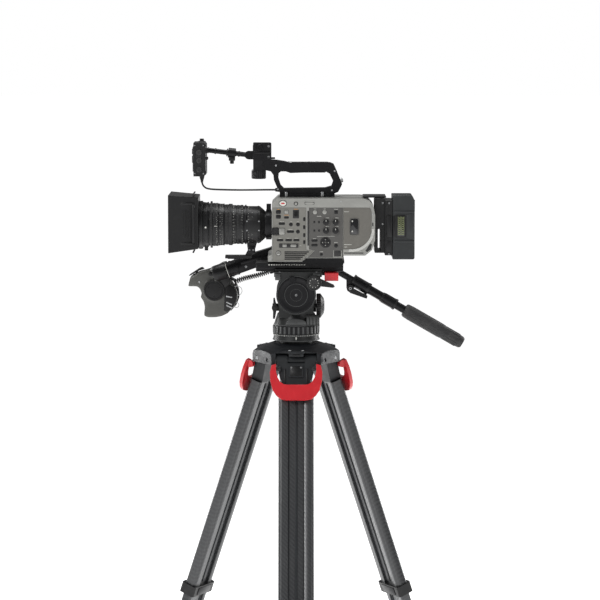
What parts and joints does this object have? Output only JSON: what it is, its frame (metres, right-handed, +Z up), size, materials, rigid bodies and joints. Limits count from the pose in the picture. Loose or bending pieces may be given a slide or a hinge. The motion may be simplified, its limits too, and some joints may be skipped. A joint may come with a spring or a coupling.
{
  "type": "film camera on tripod",
  "caption": "Camcorder with a long zoom lens, hood, finder, side grip and rear battery on a fluid head and a carbon tripod with red brake levers.",
  "frame": {"origin": "on the floor under the head's pan axis", "axes": "+Z up, the lens looks along -X, the operator's side is -Y"},
  "size_m": [0.7459, 0.6497, 1.4093],
  "materials": {
    "carbon": "matt carbon-fibre twill under clear resin",
    "crown_black": "black textured powder coat",
    "leg_grey": "grey magnesium casting, satin paint",
    "lever_red": "satin red moulded plastic",
    "rubber": "black rubber",
    "head_grey": "charcoal fine-textured paint",
    "head_light": "light grey satin metal",
    "black_metal": "black anodised metal",
    "steel": "turned steel",
    "black_plastic": "fine-grained black moulded plastic",
    "body_silver": "silver-grey satin paint",
    "panel_grey": "mid grey fine-textured plastic",
    "panel_dark": "dark grey fine-textured plastic",
    "battery_grey": "dark grey moulded plastic",
    "lens_black": "black anodised barrel with engraved scales",
    "glass": "coated optical glass",
    "circuit": "green circuit board",
    "grip_grey": "grey moulded grip plastic",
    "screen": "glossy black screen and case",
    "cord": "matt black cord sheath"
  },
  "bodies": {
    "spider": {"spider": "crown_black", "pivot_pins": "steel"},
    "leg_1_upper": {"leg_1_upper": "carbon"},
    "leg_1_middle": {"leg_1_middle": "carbon"},
    "leg_1_lower": {"leg_1_lower": "carbon"},
    "leg_1_foot": {"leg_1_foot": "rubber"},
    "leg_1_brake_lever": {"leg_1_brake_lever": "lever_red"},
    "leg_1_angle_lock": {"leg_1_angle_lock": "leg_grey"},
    "leg_2_upper": {"leg_2_upper": "carbon"},
    "leg_2_middle": {"leg_2_middle": "carbon"},
    "leg_2_lower": {"leg_2_lower": "carbon"},
    "leg_2_foot": {"leg_2_foot": "rubber"},
    "leg_2_brake_lever": {"leg_2_brake_lever": "lever_red"},
    "leg_2_angle_lock": {"leg_2_angle_lock": "leg_grey"},
    "leg_3_upper": {"leg_3_upper": "carbon"},
    "leg_3_middle": {"leg_3_middle": "carbon"},
    "leg_3_lower": {"leg_3_lower": "carbon"},
    "leg_3_foot": {"leg_3_foot": "rubber"},
    "leg_3_brake_lever": {"leg_3_brake_lever": "lever_red"},
    "leg_3_angle_lock": {"leg_3_angle_lock": "leg_grey"},
    "head_base": {"half_ball": "head_light"},
    "bowl_clamp_knob": {"bowl_clamp_knob": "black_plastic"},
    "drag_ring": {"drag_ring": "head_light"},
    "pan_housing": {"pan_housing": "head_light"},
    "drag_dial": {"drag_dial": "black_plastic"},
    "pan_brake_lever": {"pan_brake_lever": "head_grey"},
    "counterbalance_knob": {"counterbalance_knob": "black_plastic"},
    "tilt_brake_lever": {"tilt_brake_lever": "black_plastic"},
    "plate_lock_lever": {"plate_lock_lever": "lever_red"},
    "tilt_body": {"tilt_body": "head_grey"},
    "pan_bar": {"pan_bar_inner": "black_metal"},
    "pan_bar_outer": {"pan_bar_outer": "black_metal", "bar_grip": "rubber"},
    "bar_clamp_lever": {"bar_clamp_lever": "black_plastic"},
    "camera": {"camera_plate": "black_metal", "camera_body": "body_silver", "front_panel": "panel_grey", "control_panel": "panel_dark", "main_board": "circuit", "battery_plate": "black_plastic", "lens_barrel": "lens_black", "lens_glass": "glass", "top_handle": "black_plastic"},
    "rec_button": {"rec_button": "lever_red"},
    "filter_dial": {"filter_dial": "black_plastic"},
    "nav_dial": {"nav_dial": "black_plastic"},
    "media_door": {"media_door": "panel_grey"},
    "battery": {"battery": "battery_grey"},
    "focus_ring": {"focus_ring": "lens_black"},
    "zoom_ring": {"zoom_ring": "lens_black"},
    "iris_ring": {"iris_ring": "lens_black"},
    "lens_hood": {"lens_hood": "lens_black"},
    "mount_lever": {"mount_lever": "black_metal"},
    "lcd_monitor": {"lcd_monitor": "screen"},
    "hand_grip": {"hand_grip": "grip_grey"},
    "zoom_rocker": {"zoom_rocker": "black_plastic"},
    "lcd_arm": {"lcd_arm": "black_metal", "lcd_cable": "cord"},
    "grip_arm": {"grip_arm": "black_plastic", "curly_cord": "cord"}
  },
  "joints": [
    {"name": "leg_1_spread", "type": "hinge", "parent": "spider", "child": "leg_1_upper", "pos_m": [0, -0.063, 0.93], "axis": [-1, 0, 0], "range_deg": [-20, 40]},
    {"name": "leg_1_middle_slide", "type": "slide", "parent": "leg_1_upper", "child": "leg_1_middle", "axis": [0, -0.342, -0.9397], "range_m": [-0.16, 0.3]},
    {"name": "leg_1_lower_slide", "type": "slide", "parent": "leg_1_middle", "child": "leg_1_lower", "axis": [0, -0.342, -0.9397], "range_m": [-0.14, 0.3]},
    {"name": "leg_1_foot_hinge", "type": "hinge", "parent": "leg_1_lower", "child": "leg_1_foot", "pos_m": [0, -0.39057, 0.03], "axis": [-1, 0, 0], "range_deg": [-45, 20]},
    {"name": "leg_1_brake_lever_hinge", "type": "hinge", "parent": "leg_1_upper", "child": "leg_1_brake_lever", "pos_m": [0, -0.08778, 0.91454], "axis": [-1, 0, 0], "range_deg": [0, 35]},
    {"name": "leg_1_angle_lock_push", "type": "slide", "parent": "spider", "child": "leg_1_angle_lock", "axis": [0, 1, 0], "range_m": [0, 0.0018], "stiffness_N_per_m": 400},
    {"name": "leg_2_spread", "type": "hinge", "parent": "spider", "child": "leg_2_upper", "pos_m": [-0.05456, 0.0315, 0.93], "axis": [0.5, 0.866, 0], "range_deg": [-20, 40]},
    {"name": "leg_2_middle_slide", "type": "slide", "parent": "leg_2_upper", "child": "leg_2_middle", "axis": [-0.2962, 0.171, -0.9397], "range_m": [-0.16, 0.3]},
    {"name": "leg_2_lower_slide", "type": "slide", "parent": "leg_2_middle", "child": "leg_2_lower", "axis": [-0.2962, 0.171, -0.9397], "range_m": [-0.14, 0.3]},
    {"name": "leg_2_foot_hinge", "type": "hinge", "parent": "leg_2_lower", "child": "leg_2_foot", "pos_m": [-0.33825, 0.19529, 0.03], "axis": [0.5, 0.866, 0], "range_deg": [-45, 20]},
    {"name": "leg_2_brake_lever_hinge", "type": "hinge", "parent": "leg_2_upper", "child": "leg_2_brake_lever", "pos_m": [-0.07602, 0.04389, 0.91454], "axis": [0.5, 0.866, 0], "range_deg": [0, 35]},
    {"name": "leg_2_angle_lock_push", "type": "slide", "parent": "spider", "child": "leg_2_angle_lock", "axis": [0.866, -0.5, 0], "range_m": [0, 0.0018], "stiffness_N_per_m": 400},
    {"name": "leg_3_spread", "type": "hinge", "parent": "spider", "child": "leg_3_upper", "pos_m": [0.05456, 0.0315, 0.93], "axis": [0.5, -0.866, 0], "range_deg": [-20, 40]},
    {"name": "leg_3_middle_slide", "type": "slide", "parent": "leg_3_upper", "child": "leg_3_middle", "axis": [0.2962, 0.171, -0.9397], "range_m": [-0.16, 0.3]},
    {"name": "leg_3_lower_slide", "type": "slide", "parent": "leg_3_middle", "child": "leg_3_lower", "axis": [0.2962, 0.171, -0.9397], "range_m": [-0.14, 0.3]},
    {"name": "leg_3_foot_hinge", "type": "hinge", "parent": "leg_3_lower", "child": "leg_3_foot", "pos_m": [0.33825, 0.19529, 0.03], "axis": [0.5, -0.866, 0], "range_deg": [-45, 20]},
    {"name": "leg_3_brake_lever_hinge", "type": "hinge", "parent": "leg_3_upper", "child": "leg_3_brake_lever", "pos_m": [0.07602, 0.04389, 0.91454], "axis": [0.5, -0.866, 0], "range_deg": [0, 35]},
    {"name": "leg_3_angle_lock_push", "type": "slide", "parent": "spider", "child": "leg_3_angle_lock", "axis": [-0.866, -0.5, 0], "range_m": [0, 0.0018], "stiffness_N_per_m": 400},
    {"name": "level", "type": "hinge", "parent": "spider", "child": "head_base", "pos_m": [0, 0, 0.958], "axis": [0, 1, 0], "range_deg": [-5, 5]},
    {"name": "bowl_clamp_turn", "type": "hinge", "parent": "head_base", "child": "bowl_clamp_knob", "pos_m": [0, 0, 0.882], "axis": [0, 0, 1], "continuous": true},
    {"name": "drag_ring_turn", "type": "hinge", "parent": "head_base", "child": "drag_ring", "pos_m": [0, 0, 0.9925], "axis": [0, 0, 1], "range_deg": [0, 270]},
    {"name": "pan", "type": "hinge", "parent": "head_base", "child": "pan_housing", "pos_m": [0, 0, 1.01], "axis": [0, 0, 1], "continuous": true},
    {"name": "drag_dial_turn", "type": "hinge", "parent": "pan_housing", "child": "drag_dial", "pos_m": [0.052, 0, 1.043], "axis": [1, 0, 0], "range_deg": [0, 300]},
    {"name": "pan_brake", "type": "hinge", "parent": "pan_housing", "child": "pan_brake_lever", "pos_m": [-0.047, -0.024, 1.041], "axis": [0, 1, 0], "range_deg": [-12, 12]},
    {"name": "tilt", "type": "hinge", "parent": "pan_housing", "child": "tilt_body", "pos_m": [0, 0, 1.0725], "axis": [0, 1, 0], "range_deg": [-35, 35]},
    {"name": "counterbalance_turn", "type": "hinge", "parent": "tilt_body", "child": "counterbalance_knob", "pos_m": [0.0387, -0.078, 1.101], "axis": [0, 1, 0], "range_deg": [0, 300]},
    {"name": "tilt_brake", "type": "hinge", "parent": "tilt_body", "child": "tilt_brake_lever", "pos_m": [0.0387, -0.066, 1.101], "axis": [0, 1, 0], "range_deg": [-20, 25]},
    {"name": "plate_lock", "type": "hinge", "parent": "tilt_body", "child": "plate_lock_lever", "pos_m": [0.078, 0, 1.108], "axis": [0, 0, 1], "range_deg": [0, 50]},
    {"name": "pan_bar_pivot", "type": "hinge", "parent": "tilt_body", "child": "pan_bar", "pos_m": [0.066, 0.092, 1.1255], "axis": [0, 1, 0], "range_deg": [-25, 10]},
    {"name": "pan_bar_slide", "type": "slide", "parent": "pan_bar", "child": "pan_bar_outer", "axis": [0.866, 0, -0.5], "range_m": [-0.02, 0.1]},
    {"name": "bar_clamp", "type": "hinge", "parent": "pan_bar_outer", "child": "bar_clamp_lever", "pos_m": [0.1205, 0.092, 1.073], "axis": [0, 1, 0], "range_deg": [0, 60]},
    {"name": "plate_slide", "type": "slide", "parent": "tilt_body", "child": "camera", "axis": [1, 0, 0], "range_m": [-0.025, 0.025]},
    {"name": "rec_press", "type": "slide", "parent": "camera", "child": "rec_button", "axis": [0, 1, 0], "range_m": [0, 0.0012], "stiffness_N_per_m": 300},
    {"name": "filter_turn", "type": "hinge", "parent": "camera", "child": "filter_dial", "pos_m": [-0.0445, -0.069, 1.212], "axis": [0, 0, 1], "range_deg": [0, 270]},
    {"name": "nav_turn", "type": "hinge", "parent": "camera", "child": "nav_dial", "pos_m": [0.0636, -0.075, 1.1884], "axis": [0, 1, 0], "continuous": true},
    {"name": "media_door_hinge", "type": "hinge", "parent": "camera", "child": "media_door", "pos_m": [0.1027, -0.073, 1.22], "axis": [0, 0, -1], "range_deg": [0, 100]},
    {"name": "battery_slide", "type": "slide", "parent": "camera", "child": "battery", "axis": [0, 0, 1], "range_m": [0, 0.045]},
    {"name": "focus_turn", "type": "hinge", "parent": "camera", "child": "focus_ring", "pos_m": [-0.18, 0, 1.222], "axis": [1, 0, 0], "range_deg": [0, 150]},
    {"name": "zoom_turn", "type": "hinge", "parent": "camera", "child": "zoom_ring", "pos_m": [-0.143, 0, 1.222], "axis": [1, 0, 0], "range_deg": [0, 90]},
    {"name": "iris_turn", "type": "hinge", "parent": "camera", "child": "iris_ring", "pos_m": [-0.123, 0, 1.222], "axis": [1, 0, 0], "range_deg": [0, 60]},
    {"name": "hood_turn", "type": "hinge", "parent": "camera", "child": "lens_hood", "pos_m": [-0.24, 0, 1.222], "axis": [1, 0, 0], "range_deg": [0, 50]},
    {"name": "mount_lever_turn", "type": "hinge", "parent": "camera", "child": "mount_lever", "pos_m": [-0.06, 0, 1.222], "axis": [1, 0, 0], "range_deg": [0, 35]},
    {"name": "finder_rod_tilt", "type": "hinge", "parent": "camera", "child": "lcd_arm", "pos_m": [-0.104, 0.02, 1.3732], "axis": [0, 1, 0], "range_deg": [-10, 25], "deforming": ["lcd_cable"]},
    {"name": "finder_swivel", "type": "hinge", "parent": "lcd_arm", "child": "lcd_monitor", "pos_m": [-0.207, 0.02, 1.385], "axis": [0, 0, 1], "range_deg": [-35, 35]},
    {"name": "grip_arm_tilt", "type": "hinge", "parent": "camera", "child": "grip_arm", "pos_m": [-0.022, 0.1, 1.168], "axis": [0, 1, 0], "range_deg": [-12, 25]},
    {"name": "grip_turn", "type": "hinge", "parent": "grip_arm", "child": "hand_grip", "pos_m": [-0.1552, 0.1, 1.112], "axis": [-0.9489, 0, -0.3156], "range_deg": [-20, 20], "deforming": ["curly_cord"]},
    {"name": "zoom_rocker_tilt", "type": "hinge", "parent": "hand_grip", "child": "zoom_rocker", "pos_m": [-0.223, 0.121, 1.1052], "axis": [0, 1, 0], "range_deg": [-5, 5], "stiffness_Nm_per_rad": 0.05}
  ]
}
